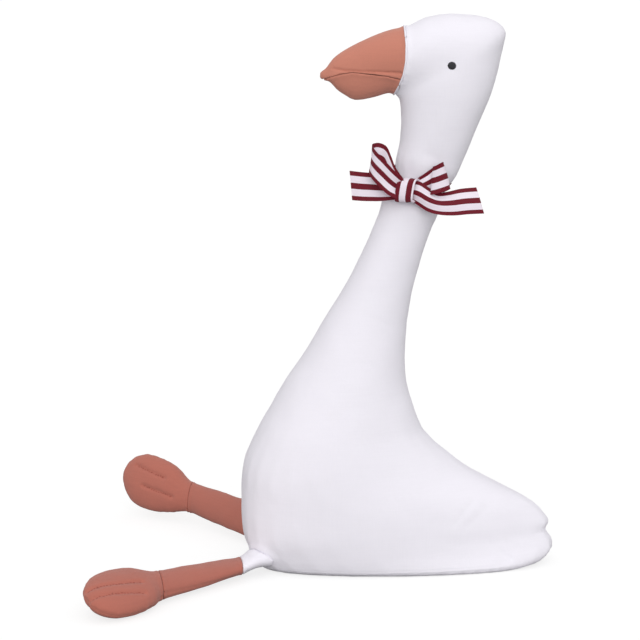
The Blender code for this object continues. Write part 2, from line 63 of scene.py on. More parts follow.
# Light
WORLD_LEVEL = 0.75
KEY_LEVEL = 1.62
KEY_TURN = (math.radians(73), 0.0, math.radians(2))
KEY_SOFTNESS = math.radians(55)
FLOOR_SIZE = 160.0

# Colours as seen, red, green and blue from 0 to 255
WHITE_COTTON = (240, 237, 245)
BEAK_COTTON = (200, 128, 108)
LEG_COTTON = (180, 105, 89)
MAROON = (114, 12, 34)
RIBBON_WHITE = (249, 238, 249)
CHARCOAL = (40, 40, 45)
LEG_THREAD = (160, 84, 70)
FLOOR_SEEN = (252, 252, 252)
FLOOR_BOUNCE = (150, 150, 150)
FLOOR_GLOW = 1.09
FLOOR_GLOW_SHARE = 0.7

# Stuffed covers: voxel, rounds of smoothing, how far each is drawn in and how far it swells
COVERS = {
    "body": (3.2 * MM, 10, 1.6 * MM, 2.6 * MM),
    "beak_upper": (1.5 * MM, 3, 0.8 * MM, 1.1 * MM),
    "beak_lower": (1.5 * MM, 3, 0.8 * MM, 1.0 * MM),
    "thigh": (1.5 * MM, 3, 0.5 * MM, 0.8 * MM),
    "shank": (1.5 * MM, 3, 0.5 * MM, 1.1 * MM),
    "foot": (1.5 * MM, 3, 0.6 * MM, 1.5 * MM),
}
SEWN_REACH = 2.5 * MM
FLOOR_REACH = 18 * MM
LEG_LIFT = 0.05 * MM
PRESSURE = 4.0
SIM_FRAMES = 20
JOINT_START = 0.6 * MM
JOINT_REACH = 5.0 * MM

# Seam round the seat, which climbs towards the tail
SEAT_SEAM_HEIGHT = 6.5 * MM
SEAT_SEAM_CLIMB = 24.5 * MM
SEAT_CLIMB_START = 105 * MM
SEAT_CLIMB_LENGTH = 58 * MM
SEAT_INNER_X = 20 * MM

# Edge of the white cover that stands up along the beak's seam
SEAM_ROLL_POINTS = 96
SEAM_ROLL_RADIUS = 0.85 * MM
SEAM_ROLL_AHEAD = 0.3 * MM

# Eyes
EYE_RADIUS = 3.7 * MM
EYE_HEIGHT = 0.9 * MM
EYE_THREADS = 15
EYE_SINK = 0.15 * MM

# Weave of the cotton
WEAVE_PITCH = 0.75 * MM

# Ribbon, its band round the neck and its knot
RIBBON_WIDTH = 25.4 * MM
RIBBON_THICKNESS = 0.45 * MM
STRIPE_EDGES = (0.16, 0.395, 0.605, 0.84)
RIB_PITCH = 0.9 * MM
BAND_HEIGHT = 351.0 * MM
BAND_X = 40.0 * MM
BAND_TILT = math.radians(18.6)
BAND_LOOSENESS = 0.3 * MM
BAND_SEGMENTS = 120
KNOT_DEPTH = 11.0 * MM
KNOT_HEIGHT = 21.5 * MM
KNOT_LEFT = -8.2 * MM
KNOT_AHEAD = 4.6 * MM
BAND_NARROWING = 0.62
BAND_NARROW_REACH = math.radians(52)
KNOT_LEAN = math.radians(8.5)
KNOT_BEARING = math.radians(-112.0)
KNOT_DROP = 4.0 * MM
KNOT_FOLD = 17.0 * MM
KNOT_DENT = 13.6 * MM
KNOT_DENT_DEPTH = 0.9 * MM
KNOT_DENT_REACH = 2.0 * MM
KNOT_EDGE_SINK = 0.3 * MM
KNOT_EDGE_REACH = 1.5 * MM

# Runs of the bow in mm from the middle of the knot: right, away from the left side and up.
# Each row is a point of the run's middle line, the lean of its width to the right and away
# for each step up, and the share of the ribbon's width that shows there.
LEFT_LOOP = [
    (-1.0, -3.6, 0.5, 0.10, 0.0, 0.62),
    (-5.5, -4.0, 1.3, 0.10, 0.0, 0.70),
    (-14.6, -6.8, 7.0, 0.15, -0.05, 0.92),
    (-23.6, -7.2, 15.7, 0.14, -0.08, 1.0),
    (-30.5, -4.4, 22.8, 0.13, -0.08, 1.0),
    (-33.0, -0.2, 27.2, 0.11, -0.08, 1.0),
    (-31.8, 3.6, 29.0, 0.12, -0.06, 0.98),
    (-27.2, 6.4, 29.4, 0.18, -0.04, 0.98),
    (-21.2, 6.4, 26.0, 0.18, -0.04, 1.0),
    (-17.6, 5.0, 18.8, 0.18, 0.0, 0.96),
    (-13.4, 3.2, 10.0, 0.17, 0.0, 0.86),
    (-5.4, 1.4, 1.7, 0.10, 0.0, 0.70),
    (-1.0, 1.0, 0.5, 0.10, 0.0, 0.62),
]
RIGHT_LOOP = [
    (1.0, -1.5, 2.0, 0.05, 0.0, 0.50),
    (8.0, -1.2, 3.0, 0.05, 0.0, 0.58),
    (15.0, -0.8, 5.4, 0.07, 0.0, 0.76),
    (20.8, -1.0, 8.0, 0.09, 0.0, 0.94),
    (22.6, -3.2, 8.7, 0.09, 0.0, 0.98),
    (21.2, -5.8, 8.8, 0.08, 0.0, 1.0),
    (24.6, -8.0, 10.0, 0.0, 0.0, 1.0),
    (30.6, -7.7, 12.2, -0.16, 0.0, 1.0),
    (34.4, -4.4, 13.4, -0.26, 0.0, 1.0),
    (34.4, -1.2, 12.8, -0.29, 0.0, 0.98),
    (30.0, 0.8, 10.0, -0.26, 0.0, 0.94),
    (20.0, 1.1, 6.0, -0.15, 0.0, 0.80),
    (8.0, 1.3, 2.6, 0.0, 0.0, 0.58),
    (1.0, 1.3, 2.0, 0.05, 0.0, 0.50),
]
LEFT_TAIL = [
    (-1.0, 3.2, 0.0, 0.10, 0.0, 0.60),
    (-5.2, 3.6, 0.0, 0.10, 0.0, 0.65),
    (-15.0, 5.2, 0.6, 0.14, 0.05, 0.82),
    (-24.0, 6.6, 1.3, 0.04, 0.10, 0.94),
    (-32.0, 7.4, 1.9, -0.04, 0.12, 1.0),
    (-41.5, 8.0, 2.4, -0.06, 0.10, 1.03),
    (-51.0, 8.2, 3.3, -0.09, 0.08, 1.05),
]
RIGHT_TAIL = [
    (1.0, -3.0, -0.8, 0.06, 0.0, 0.68),
    (4.0, -3.8, -1.0, 0.06, 0.0, 0.72),
    (9.6, -5.4, -2.6, 0.08, 0.0, 0.84),
    (18.9, -6.4, -8.2, 0.10, 0.16, 0.82),
    (27.8, -5.8, -11.4, -0.10, 0.34, 0.80),
    (38.8, -4.8, -11.4, -0.30, 0.34, 0.89),
    (51.0, -3.8, -9.8, -0.32, 0.26, 0.95),
    (65.0, -2.8, -9.0, -0.30, 0.22, 0.97),
]


# Meshes

def link(name, mesh):
    item = bpy.data.objects.new(name, mesh)
    bpy.context.scene.collection.objects.link(item)
    return item


def keep_result(item):
    """Keep the mesh that the modifiers make, and drop the modifiers."""
    graph = bpy.context.evaluated_depsgraph_get()
    mesh = bpy.data.meshes.new_from_object(item.evaluated_get(graph))
    item.modifiers.clear()
    old = item.data
    item.data = mesh
    bpy.data.meshes.remove(old)


def get_points(mesh):
    flat = np.empty(len(mesh.vertices) * 3)
    mesh.vertices.foreach_get("co", flat)
    return flat.reshape(-1, 3)


def set_points(mesh, points):
    mesh.vertices.foreach_set("co", points.ravel())
    mesh.update()


def get_normals(mesh):
    flat = np.empty(len(mesh.vertices) * 3)
    mesh.vertex_normals.foreach_get("vector", flat)
    return flat.reshape(-1, 3)


def get_edges(mesh):
    flat = np.empty(len(mesh.edges) * 2, dtype=np.int64)
    mesh.edges.foreach_get("vertices", flat)
    return flat.reshape(-1, 2)


def smoothed(points, edges, rounds):
    """Even the points out without shrinking the form."""
    count = np.bincount(edges.ravel(), minlength=len(points))[:, None]
    for weight in (0.5, -0.52) * rounds:
        total = np.zeros_like(points)
        np.add.at(total, edges[:, 0], points[edges[:, 1]])
        np.add.at(total, edges[:, 1], points[edges[:, 0]])
        points = points + weight * (total / count - points)
    return points


def tree_of(mesh):
    corners = [vertex.co for vertex in mesh.vertices]
    return BVHTree.FromPolygons(corners, [face.vertices for face in mesh.polygons])


def solid_tree(node):
    return tree_of(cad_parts[node].data)


def rise(values, start, reach):
    """Go smoothly from 0 at the start to 1 a reach further on."""
    share = np.clip((values - start) / reach, 0.0, 1.0)
    return share * share * (3 - 2 * share)


# Seam lines, as points about a millimetre apart

def along(points, step=MM):
    line = []
    for before, after in zip(points, points[1:]):
        count = max(1, math.ceil((after - before).length / step))
        line += [before.lerp(after, index / count) for index in range(count)]
    return line + [points[-1]]


def cut_line(node, place, normal, keep):
    """Return the line along which a plane cuts a solid, where keep says so."""
    shape = bmesh.new()
    shape.from_mesh(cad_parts[node].data)
    everything = shape.verts[:] + shape.edges[:] + shape.faces[:]
    cut = bmesh.ops.bisect_plane(shape, geom=everything, plane_co=place, plane_no=normal)
    line = []
    for item in cut["geom_cut"]:
        if isinstance(item, bmesh.types.BMEdge):
            line += along([item.verts[0].co.copy(), item.verts[1].co.copy()])
    shape.free()
    return [point for point in line if keep(point)]


def side_line(node, outline, sides=(-1, 1)):
    """Return a line on one or both sides of a solid, from its side view in mm."""
    tree = solid_tree(node)
    line = []
    for side in sides:
        run = [Vector((x * MM, side * 0.12, z * MM)) for x, z in outline]
        for point in along(run):
            place = tree.ray_cast(point, Vector((0, -side, 0)))[0]
            if place is not None:
                line.append(place)
    return line


def nearest(points, line):
    """Return each point's distance to a line, and the line's nearest point."""
    tree = KDTree(len(line))
    for index, point in enumerate(line):
        tree.insert(point, index)
    tree.balance()
    found = [tree.find(point) for point in points]
    return np.array([row[2] for row in found]), [row[0] for row in found]


def gap_to(points, trees):
    """Return each point's distance to the nearest of some surfaces."""
    gaps = np.full(len(points), 1.0)
    for tree in trees:
        found = [tree.find_nearest(point) for point in points]
        gaps = np.minimum(gaps, [row[3] for row in found])
    return gaps


# Stuffed covers

def blow_up(piece, held):
    """Blow a mesh up with the cloth simulation, held where the weights say so."""
    group = piece.vertex_groups.new(name="held")
    for index in np.flatnonzero(held > 0):
        group.add([int(index)], float(held[index]), "REPLACE")
    cloth = piece.modifiers.new("stuffing", "CLOTH")
    cloth.settings.quality = 4
    cloth.settings.use_pressure = True
    cloth.settings.uniform_pressure_force = PRESSURE
    cloth.settings.vertex_group_mass = "held"
    cloth.settings.effector_weights.gravity = 0.0
    cloth.point_cache.frame_start = 1
    cloth.point_cache.frame_end = SIM_FRAMES
    for number in range(1, SIM_FRAMES + 1):
        bpy.context.scene.frame_set(number)
    keep_result(piece)
    bpy.context.scene.frame_set(1)
    piece.vertex_groups.clear()


def refine(piece, line, reach):
    """Split the faces near a line once."""
    shape = bmesh.new()
    shape.from_mesh(piece.data)
    gaps, _ = nearest([vertex.co for vertex in shape.verts], line)
    shape.edges.ensure_lookup_table()
    shape.verts.index_update()
    close = [edge for edge in shape.edges
             if max(gaps[edge.verts[0].index], gaps[edge.verts[1].index]) < reach]
    bmesh.ops.subdivide_edges(shape, edges=close, cuts=1, use_grid_fill=True)
    shape.to_mesh(piece.data)
    shape.free()


def press(piece, line, depth, width, pucker=0.0, pucker_size=9 * MM, pucker_reach=3.0):
    """Press a seam into a cover, with puckers that run out from it."""
    mesh = piece.data
    points = get_points(mesh)
    normals = get_normals(mesh)
    gaps, feet = nearest(points, line)
    dip = depth * np.exp(-((gaps / width) ** 2))
    if pucker:
        wave = np.array([noise.noise(foot / pucker_size) for foot in feet])
        near = np.exp(-((gaps / (width * pucker_reach)) ** 2))
        dip += pucker * (0.5 + wave) * near
    set_points(mesh, points - normals * dip[:, None])


def roughen(piece, size, depth, seed, fade=None):
    """Add the soft unevenness of stuffing under cloth."""
    mesh = piece.data
    points = get_points(mesh)
    shift = Vector((seed, 2.3 * seed, 4.1 * seed))
    wave = np.array([noise.noise(Vector(point) / size + shift) for point in points])
    if fade is not None:
        wave = wave * fade
    set_points(mesh, points + get_normals(mesh) * (wave * depth)[:, None])


def rest_on_floor(piece, level):
    """Flatten a cover where it would reach below a level."""
    points = get_points(piece.data)
    points[:, 2] = np.maximum(points[:, 2], level)
    set_points(piece.data, points)


def hug(piece, node, others, floor_reach, joint_reach):
    """Bring a cover back to its solid near the floor and where it is sewn to others."""
    points = get_points(piece.data)
    tree = solid_tree(node)
    near = 1.0 - rise(points[:, 2], 3 * MM, floor_reach) if floor_reach else np.zeros(len(points))
    if others:
        gaps = gap_to(points, [solid_tree(other) for other in others])
        near = np.maximum(near, 1.0 - rise(gaps, 0.4 * MM, joint_reach))
    for index in np.flatnonzero(near > 0):
        place = np.array(tree.find_nearest(Vector(points[index]))[0])
        points[index] += (place - points[index]) * near[index]
    set_points(piece.data, points)


def make_cover(node, seams, neighbours, subdivide=True):
    """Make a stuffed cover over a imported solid, and return it before its seams are pressed."""
    voxel, rounds, draw_in, swell = COVERS.get(node) or COVERS[node.split("_")[0]]
    piece = link(node + "_cover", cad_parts[node].data.copy())
    piece.data.materials.clear()
    even = piece.modifiers.new("even_faces", "REMESH")
    even.mode = "VOXEL"
    even.voxel_size = voxel
    keep_result(piece)
    mesh = piece.data
    base = smoothed(get_points(mesh), get_edges(mesh), rounds)
    set_points(mesh, base)
    normals = get_normals(mesh)
    joint_gap = gap_to(base, [solid_tree(other) for other in neighbours])
    seam_gap = joint_gap
    if seams:
        seam_gap = np.minimum(nearest(base, seams)[0], joint_gap)
    free = rise(joint_gap, JOINT_START, JOINT_REACH)[:, None]
    start = base - normals * draw_in * free
    set_points(mesh, start)
    blow_up(piece, np.where(seam_gap < 0.8 * voxel, 1.0, 0.0))
    mesh = piece.data
    moved = get_points(mesh)
    shift = moved - start
    length = np.linalg.norm(shift, axis=1)[:, None]
    shift *= np.minimum(1.0, swell / np.maximum(length, 1e-9))
    set_points(mesh, start + shift * free)
    if subdivide:
        finer = piece.modifiers.new("finer", "SUBSURF")
        finer.levels = 1
        finer.render_levels = 1
        keep_result(piece)
    return piece


def finish_cover(piece, node, finish):
    piece.data.shade_smooth()
    piece.data.materials.append(finish)
    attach(piece, "root")
    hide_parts(node)


# Finishes

def linear(level):
    level = level / 255
    if level <= 0.04045:
        return level / 12.92
    return ((level + 0.055) / 1.055) ** 2.4


def colour(seen, factor=1.0):
    return tuple(linear(level) * factor for level in seen) + (1.0,)


def new_finish(name):
    finish = bpy.data.materials.new(name)
    finish.use_nodes = True
    return finish, finish.node_tree, finish.node_tree.nodes["Principled BSDF"]


def wire(tree, value, socket):
    """Feed a socket from another socket, or set it to a number."""
    if isinstance(value, bpy.types.NodeSocket):
        tree.links.new(value, socket)
    else:
        socket.default_value = value


def calculate(tree, operation, one, two=0.0):
    step = tree.nodes.new("ShaderNodeMath")
    step.operation = operation
    wire(tree, one, step.inputs[0])
    wire(tree, two, step.inputs[1])
    return step.outputs[0]


def stretched_noise(tree, place, stretch, detail=2.0):
    fit = tree.nodes.new("ShaderNodeMapping")
    fit.inputs["Scale"].default_value = stretch
    tree.links.new(place, fit.inputs["Vector"])
    grain = tree.nodes.new("ShaderNodeTexNoise")
    grain.inputs["Scale"].default_value = 1.0
    grain.inputs["Detail"].default_value = detail
    tree.links.new(fit.outputs["Vector"], grain.inputs["Vector"])
    return grain.outputs["Fac"]


def weave_height(tree, place, pitch):
    """Return the height of a plain weave, seen along the axis that the surface faces most."""
    waves = []
    split = tree.nodes.new("ShaderNodeSeparateXYZ")
    tree.links.new(place, split.inputs[0])
    for index in range(3):
        turns = calculate(tree, "MULTIPLY", split.outputs[index], 2 * math.pi / pitch)
        waves.append(calculate(tree, "SINE", turns))
    facing = tree.nodes.new("ShaderNodeSeparateXYZ")
    tree.links.new(tree.nodes.new("ShaderNodeNewGeometry").outputs["Normal"], facing.inputs[0])
    height = 0.0
    for index in range(3):
        one, two = waves[(index + 1) % 3], waves[(index + 2) % 3]
        weight = calculate(tree, "POWER", calculate(tree, "ABSOLUTE", facing.outputs[index]), 4.0)
        part = calculate(tree, "MULTIPLY", calculate(tree, "MULTIPLY", one, two), weight)
        height = calculate(tree, "ADD", part, height)
    return height


def bump(tree, height, distance, strength=1.0, under=None):
    step = tree.nodes.new("ShaderNodeBump")
    step.inputs["Strength"].default_value = strength
    step.inputs["Distance"].default_value = distance
    tree.links.new(height, step.inputs["Height"])
    if under is not None:
        tree.links.new(under, step.inputs["Normal"])
    return step.outputs["Normal"]


def blend(tree, amount, one, two):
    step = tree.nodes.new("ShaderNodeMix")
    step.data_type = "RGBA"
    wire(tree, amount, step.inputs["Factor"])
    wire(tree, one, step.inputs["A"])
    wire(tree, two, step.inputs["B"])
    return step.outputs["Result"]


def cotton(name, seen, slub, weave_depth, sheen):
    """Plain-weave cotton, with thicker threads here and there both ways."""
    finish, tree, shader = new_finish(name)
    place = tree.nodes.new("ShaderNodeTexCoord").outputs["Object"]
    upright = stretched_noise(tree, place, (900.0, 900.0, 45.0))
    level = stretched_noise(tree, place, (45.0, 45.0, 900.0))
    threads = calculate(tree, "MULTIPLY", calculate(tree, "ADD", upright, level), 0.5)
    cloudy = stretched_noise(tree, place, (22.0, 22.0, 22.0), 3.0)
    fine = calculate(tree, "MULTIPLY_ADD", threads, 2.2)
    fine.node.inputs[2].default_value = -0.6
    shade = blend(tree, fine, colour(seen, 1.0 - slub), colour(seen, 1.0 + 0.5 * slub))
    patchy = blend(tree, cloudy, colour(seen, 1.0 - 0.6 * slub), colour(seen, 1.0 + 0.4 * slub))
    tree.links.new(blend(tree, 0.4, shade, patchy), shader.inputs["Base Color"])
    rough = calculate(tree, "MULTIPLY_ADD", threads, 0.16)
    rough.node.inputs[2].default_value = 0.80
    tree.links.new(rough, shader.inputs["Roughness"])
    shader.inputs["Sheen Weight"].default_value = sheen
    shader.inputs["Sheen Roughness"].default_value = 0.55
    crumple = stretched_noise(tree, place, (75.0, 75.0, 75.0), 3.0)
    soft = bump(tree, crumple, 0.35 * MM, 0.6)
    slubs = bump(tree, threads, 0.12 * MM, 0.7, soft)
    weave = bump(tree, weave_height(tree, place, WEAVE_PITCH), weave_depth, 0.8, slubs)
    tree.links.new(weave, shader.inputs["Normal"])
    return finish


def grosgrain(name):
    """Ribbed ribbon with five stripes, by its own width and length."""
    finish, tree, shader = new_finish(name)
    spread = tree.nodes.new("ShaderNodeUVMap")
    spread.uv_map = "cut"
    split = tree.nodes.new("ShaderNodeSeparateXYZ")
    tree.links.new(spread.outputs["UV"], split.inputs[0])
    stripes = tree.nodes.new("ShaderNodeValToRGB")
    stripes.color_ramp.interpolation = "CONSTANT"
    stops = stripes.color_ramp.elements
    stops[0].color = colour(MAROON)
    stops[1].position = STRIPE_EDGES[0]
    stops[1].color = colour(RIBBON_WHITE)
    for edge, shown in zip(STRIPE_EDGES[1:], (MAROON, RIBBON_WHITE, MAROON)):
        stops.new(edge).color = colour(shown)
    tree.links.new(split.outputs["Y"], stripes.inputs["Fac"])
    turns = calculate(tree, "MULTIPLY", split.outputs["X"], 2 * math.pi / RIB_PITCH)
    ribs = calculate(tree, "SINE", turns)
    across = calculate(tree, "MULTIPLY", split.outputs["Y"], 160.0)
    threads = calculate(tree, "SINE", across)
    # Painted shade: each stripe's colour is darkened by up to a tenth in the grooves between the
    # ribs, in step with the rib bump
    groove_shade = calculate(tree, "MULTIPLY_ADD", ribs, 0.05)
    groove_shade.node.inputs[2].default_value = 0.95
    shaded = tree.nodes.new("ShaderNodeVectorMath")
    shaded.operation = "SCALE"
    tree.links.new(stripes.outputs["Color"], shaded.inputs[0])
    tree.links.new(groove_shade, shaded.inputs["Scale"])
    tree.links.new(shaded.outputs[0], shader.inputs["Base Color"])
    shader.inputs["Roughness"].default_value = 0.55
    shader.inputs["Specular IOR Level"].default_value = 0.25
    ribbed = bump(tree, ribs, 0.10 * MM, 0.8)
    tree.links.new(bump(tree, threads, 0.02 * MM, 0.4, ribbed), shader.inputs["Normal"])
    return finish


def thread(name, seen, roughness, pitch):
    """Twisted sewing thread."""
    finish, tree, shader = new_finish(name)
    place = tree.nodes.new("ShaderNodeTexCoord").outputs["Object"]
    strands = stretched_noise(tree, place, (1 / pitch, 1 / pitch, 1 / pitch), 2.0)
    shade = blend(tree, strands, colour(seen, 0.8), colour(seen, 1.25))
    tree.links.new(shade, shader.inputs["Base Color"])
    shader.inputs["Roughness"].default_value = roughness
    tree.links.new(bump(tree, strands, 0.06 * MM, 0.8), shader.inputs["Normal"])
    return finish


# Threads

def add_tube(shape, points, radius, sides=8):
    """Add a round closed thread along some points to a mesh."""
    rings = []
    for index, point in enumerate(points):
        ahead = points[min(index + 1, len(points) - 1)]
        behind = points[max(index - 1, 0)]
        way = (ahead - behind).normalized()
        side = way.orthogonal().normalized()
        up = way.cross(side)
        thin = 0.45 if index in (0, len(points) - 1) else 1.0
        ring = []
        for step in range(sides):
            angle = 2 * math.pi * step / sides
            turn = side * math.cos(angle) + up * math.sin(angle)
            ring.append(shape.verts.new(point + turn * radius * thin))
        rings.append(ring)
    for before, after in zip(rings, rings[1:]):
        for step in range(sides):
            beside = (step + 1) % sides
            shape.faces.new((before[step], before[beside], after[beside], after[step]))
    shape.faces.new(rings[0])
    shape.faces.new(rings[-1])


def mesh_from(shape, name):
    bmesh.ops.recalc_face_normals(shape, faces=shape.faces)
    mesh = bpy.data.meshes.new(name)
    shape.to_mesh(mesh)
    shape.free()
    mesh.shade_smooth()
    return mesh


# Body

def seat_line(tree):
    """Return the seam round the seat, which climbs to the notch at the tail."""
    line = []
    for step in range(360):
        bearing = math.radians(step)
        way = Vector((math.cos(bearing), math.sin(bearing), 0.0))
        x = 0.0
        for _ in range(3):
            climb = rise(np.array([x]), SEAT_CLIMB_START, SEAT_CLIMB_LENGTH)[0]
            height = SEAT_SEAM_HEIGHT + SEAT_SEAM_CLIMB * climb
            start = Vector((SEAT_INNER_X, 0.0, height))
            place = tree.ray_cast(start, way)[0]
            x = place.x
        line.append(place)
    return along(line + line[:1])


# Creases on the left side of the body: points of the side view, depth and width, in mm
CREASES = [
    ([(72.3, 47.0), (80.0, 56.0), (91.2, 67.0)], 0.8, 2.4),
    ([(82.5, 44.4), (94.0, 52.5), (105.3, 61.5)], 0.7, 2.2),
    ([(114.5, 20.7), (124.7, 12.0)], 0.8, 2.2),
    ([(-10.9, 237.4), (3.0, 232.5), (17.4, 225.2)], 0.5, 2.6),
    ([(-19.0, 195.2), (-5.5, 194.8)], 0.4, 2.2),
    ([(17.1, 287.5), (27.0, 279.0), (35.9, 271.8)], 0.5, 2.6),
    ([(46.1, 382.4), (57.0, 376.0)], 0.7, 3.4),
]


def joint_rim(node, others):
    """Return the sharp edge of a solid beside the pieces that are sewn to it, as a ring."""
    shape = bmesh.new()
    shape.from_mesh(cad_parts[node].data)
    bmesh.ops.remove_doubles(shape, verts=shape.verts, dist=0.01 * MM)
    sharp = [edge for edge in shape.edges
             if len(edge.link_faces) == 2 and edge.calc_face_angle() > math.radians(40)]
    line = []
    for edge in sharp:
        line += along([edge.verts[0].co.copy(), edge.verts[1].co.copy()])
    shape.free()
    gaps = gap_to(line, [solid_tree(other) for other in others])
    line = [point for point, gap in zip(line, gaps) if gap < 1.2 * MM]
    middle = sum(line, Vector()) / len(line)
    return sorted(line, key=lambda point: math.atan2(point.y - middle.y, point.z - middle.z))


def squeeze_at_band(piece):
    """Draw the neck in under the ribbon, and let it swell on both sides."""
    points = get_points(piece.data)
    normals = get_normals(piece.data)
    axis = np.array([math.sin(BAND_TILT), 0.0, math.cos(BAND_TILT)])
    offset = (points - np.array([BAND_X, 0.0, BAND_HEIGHT])) @ axis
    side = np.abs(offset) - 21 * MM
    dip = 1.5 * MM * np.exp(-((offset / (11 * MM)) ** 4))
    swell = 1.0 * MM * np.exp(-((side / (8 * MM)) ** 2))
    bearing = np.arctan2(points[:, 1], points[:, 0] - BAND_X)
    folds = np.array([noise.noise(Vector((3.4 * math.cos(a), 3.4 * math.sin(a), 0.4)))
                      for a in bearing])
    edge = np.abs(offset) - 14 * MM
    pucker = 0.9 * MM * folds * np.exp(-((edge / (7 * MM)) ** 2))
    move = (swell - dip + pucker)[:, None]
    set_points(piece.data, points + normals * move)


def make_body(finish):
    seam = cut_line("body", (0, 0, 0), (0, 1, 0), lambda point: point.z > 5 * MM)
    base = seat_line(solid_tree("body"))
    neighbours = ("beak_upper", "beak_lower", "thigh_left", "thigh_right")
    piece = make_cover("body", seam + base, neighbours, subdivide=False)
    squeeze_at_band(piece)
    roughen(piece, 46 * MM, 0.9 * MM, 1.7)
    roughen(piece, 17 * MM, 0.28 * MM, 5.2)
    rim = joint_rim("body", ("beak_upper", "beak_lower"))
    refine(piece, rim, 8 * MM)
    refine(piece, rim, 4 * MM)
    hug(piece, "body", ("beak_upper", "beak_lower"), FLOOR_REACH, 4 * MM)
    for line in (seam, base):
        refine(piece, line, 9 * MM)
        refine(piece, line, 5 * MM)
    press(piece, seam, 1.2 * MM, 1.5 * MM, 0.35 * MM)
    press(piece, base, 0.15 * MM, 0.8 * MM)
    for points, depth, width in CREASES:
        press(piece, side_line("body", points, (-1,)), depth * MM, width * MM)
    rest_on_floor(piece, 0.0)
    finish_cover(piece, "body", finish)
    make_seam_roll(rim, finish)
    return piece


def make_seam_roll(rim, finish):
    """Show the edge of the white cover that stands up along the beak's seam."""
    count = SEAM_ROLL_POINTS
    ring = [rim[index * len(rim) // count] for index in range(count)]
    even = [(ring[index - 1] + ring[index] * 2 + ring[(index + 1) % count]) / 4
            for index in range(count)]
    ahead = Vector((SEAM_ROLL_AHEAD, 0.0, 0.0))
    shape = bmesh.new()
    add_tube(shape, [point - ahead for point in even + even[:1]], SEAM_ROLL_RADIUS)
    piece = link("beak_seam_roll", mesh_from(shape, "beak_seam_roll"))
    piece.data.materials.append(finish)
    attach(piece, "root")


# Beak

# Line above the mouth, from the side in mm
LIP_LINE = [(-39.0, 458.6), (-29.3, 457.0), (-5.5, 456.2), (21.0, 454.8)]


def make_beak(finish):
    top = cut_line("beak_upper", (0, 0, 0), (0, 1, 0),
                   lambda point: point.x < 24 * MM and point.z > 458 * MM)
    upper = make_cover("beak_upper", top, ("body", "beak_lower"))
    roughen(upper, 20 * MM, 0.4 * MM, 3.1)
    press(upper, top, 0.8 * MM, 1.3 * MM, 0.2 * MM)
    hug(upper, "beak_upper", ("body", "beak_lower"), 0.0, 3 * MM)
    press(upper, side_line("beak_upper", LIP_LINE), 1.9 * MM, 1.2 * MM, 0.2 * MM)
    finish_cover(upper, "beak_upper", finish)
    keel = cut_line("beak_lower", (0, 0, 0), (0, 1, 0), lambda point: point.z < 446 * MM)
    lower = make_cover("beak_lower", keel, ("body", "beak_upper"))
    hug(lower, "beak_lower", ("body", "beak_upper"), 0.0, 3 * MM)
    roughen(lower, 20 * MM, 0.4 * MM, 8.6)
    press(lower, keel, 0.8 * MM, 1.3 * MM, 0.2 * MM)
    finish_cover(lower, "beak_lower", finish)


# Legs

def own_axes(node):
    """Return a flat piece's middle, and its long, wide and thin directions."""
    points = get_points(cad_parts[node].data)
    middle = points.mean(axis=0)
    _, _, rows = np.linalg.svd(points - middle, full_matrices=False)
    long_way, wide, thin = (Vector(row) for row in rows)
    if long_way.x > 0:
        long_way = -long_way
    if thin.dot(Vector((0, -0.5, 1))) < 0:
        thin = -thin
    wide = thin.cross(long_way)
    return Vector(middle), long_way, wide, thin


# Toe lines: their ends along the foot and across it, from its middle, in mm
TOE_LINES = {
    "foot_left": (((-15.7, 5.4), (35.2, -10.1)), ((-9.7, 16.7), (40.3, -0.5))),
    "foot_right": (((-14.9, -10.7), (23.0, -10.6)), ((-31.4, 3.7), (5.0, 5.5))),
}


def toe_lines(node):
    """Return the two stitched lines of a foot, on its top and on its sole."""
    middle, long_way, wide, thin = own_axes(node)
    tree = solid_tree(node)
    tops, soles = [], []
    for ends in TOE_LINES[node]:
        run = [middle + (long_way * far + wide * across) * MM for far, across in ends]
        top, sole = [], []
        for point in along(run):
            over = tree.ray_cast(point + thin * 0.05, -thin)[0]
            under = tree.ray_cast(point - thin * 0.05, thin)[0]
            if over is not None and under is not None:
                top.append(over)
                sole.append(under)
        tops.append(top)
        soles.append(sole)
    return tops, soles


def make_stitches(name, tops, cover, finish):
    """Lay running stitches in the toe lines of a foot."""
    tree = tree_of(cover.data)
    shape = bmesh.new()
    for line in tops:
        for start in range(1, len(line) - 2, 3):
            ends = [tree.find_nearest(line[start + step]) for step in (0, 1, 2)]
            run = [end[0] + end[1] * 0.12 * MM for end in ends]
            run[0] -= ends[0][1] * 0.35 * MM
            run[2] -= ends[2][1] * 0.35 * MM
            add_tube(shape, [run[0], run[0].lerp(run[1], 0.4), run[1], run[2].lerp(run[1], 0.4),
                             run[2]], 0.32 * MM)
    piece = link(name, mesh_from(shape, name))
    piece.data.materials.append(finish)
    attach(piece, "root")


